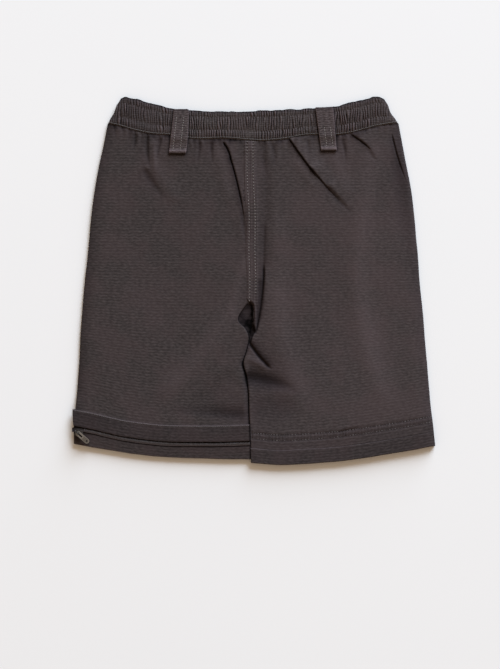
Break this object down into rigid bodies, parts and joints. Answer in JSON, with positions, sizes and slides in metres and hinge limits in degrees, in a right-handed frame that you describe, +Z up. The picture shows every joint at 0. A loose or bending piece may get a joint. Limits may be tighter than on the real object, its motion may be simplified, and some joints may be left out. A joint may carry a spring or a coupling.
{
  "type": "child's zip-off straight-leg trousers in their shorts form, laid flat",
  "caption": "Child's zip-off trousers in their shorts form, laid flat back up: gathered elastic waistband, belt loops, felled back seam, zip at the left leg's hem.",
  "frame": {"origin": "on the surface the garment lies on, under the middle of its box", "axes": "+X to the right of the garment seen from above with its back up, +Y towards the waistband, +Z up from the surface"},
  "size_m": [0.363, 0.3676, 0.0105],
  "materials": {
    "cloth": "matt charcoal cotton with fine crosswise ribs",
    "waistband": "the same cloth, gathered on elastic",
    "zip_tape": "woven tape and nylon coil, slightly lighter",
    "metal": "dull grey plated metal"
  },
  "bodies": {
    "garment": {"back_panel_left": "cloth", "back_panel_right": "cloth", "front_panel_left": "cloth", "front_panel_right": "cloth", "waistband_back": "waistband", "waistband_front": "waistband", "belt_loop_left": "waistband", "belt_loop_right": "waistband", "zip_flap_left": "cloth", "zip_strip_left": "zip_tape", "lower_band_left": "cloth", "hem_band_front_left": "cloth", "hem_band_right": "cloth", "hem_band_front_right": "cloth", "zip_slider": "metal"},
    "pull_tab": {"zip_pull_tab": "metal"}
  },
  "joints": [
    {"name": "pull_tab_hinge", "type": "hinge", "parent": "garment", "child": "pull_tab", "pos_m": [-0.1759, -0.1519, 0.0087], "axis": [-0.6561, -0.7547, 0], "range_deg": [0, 150]}
  ]
}
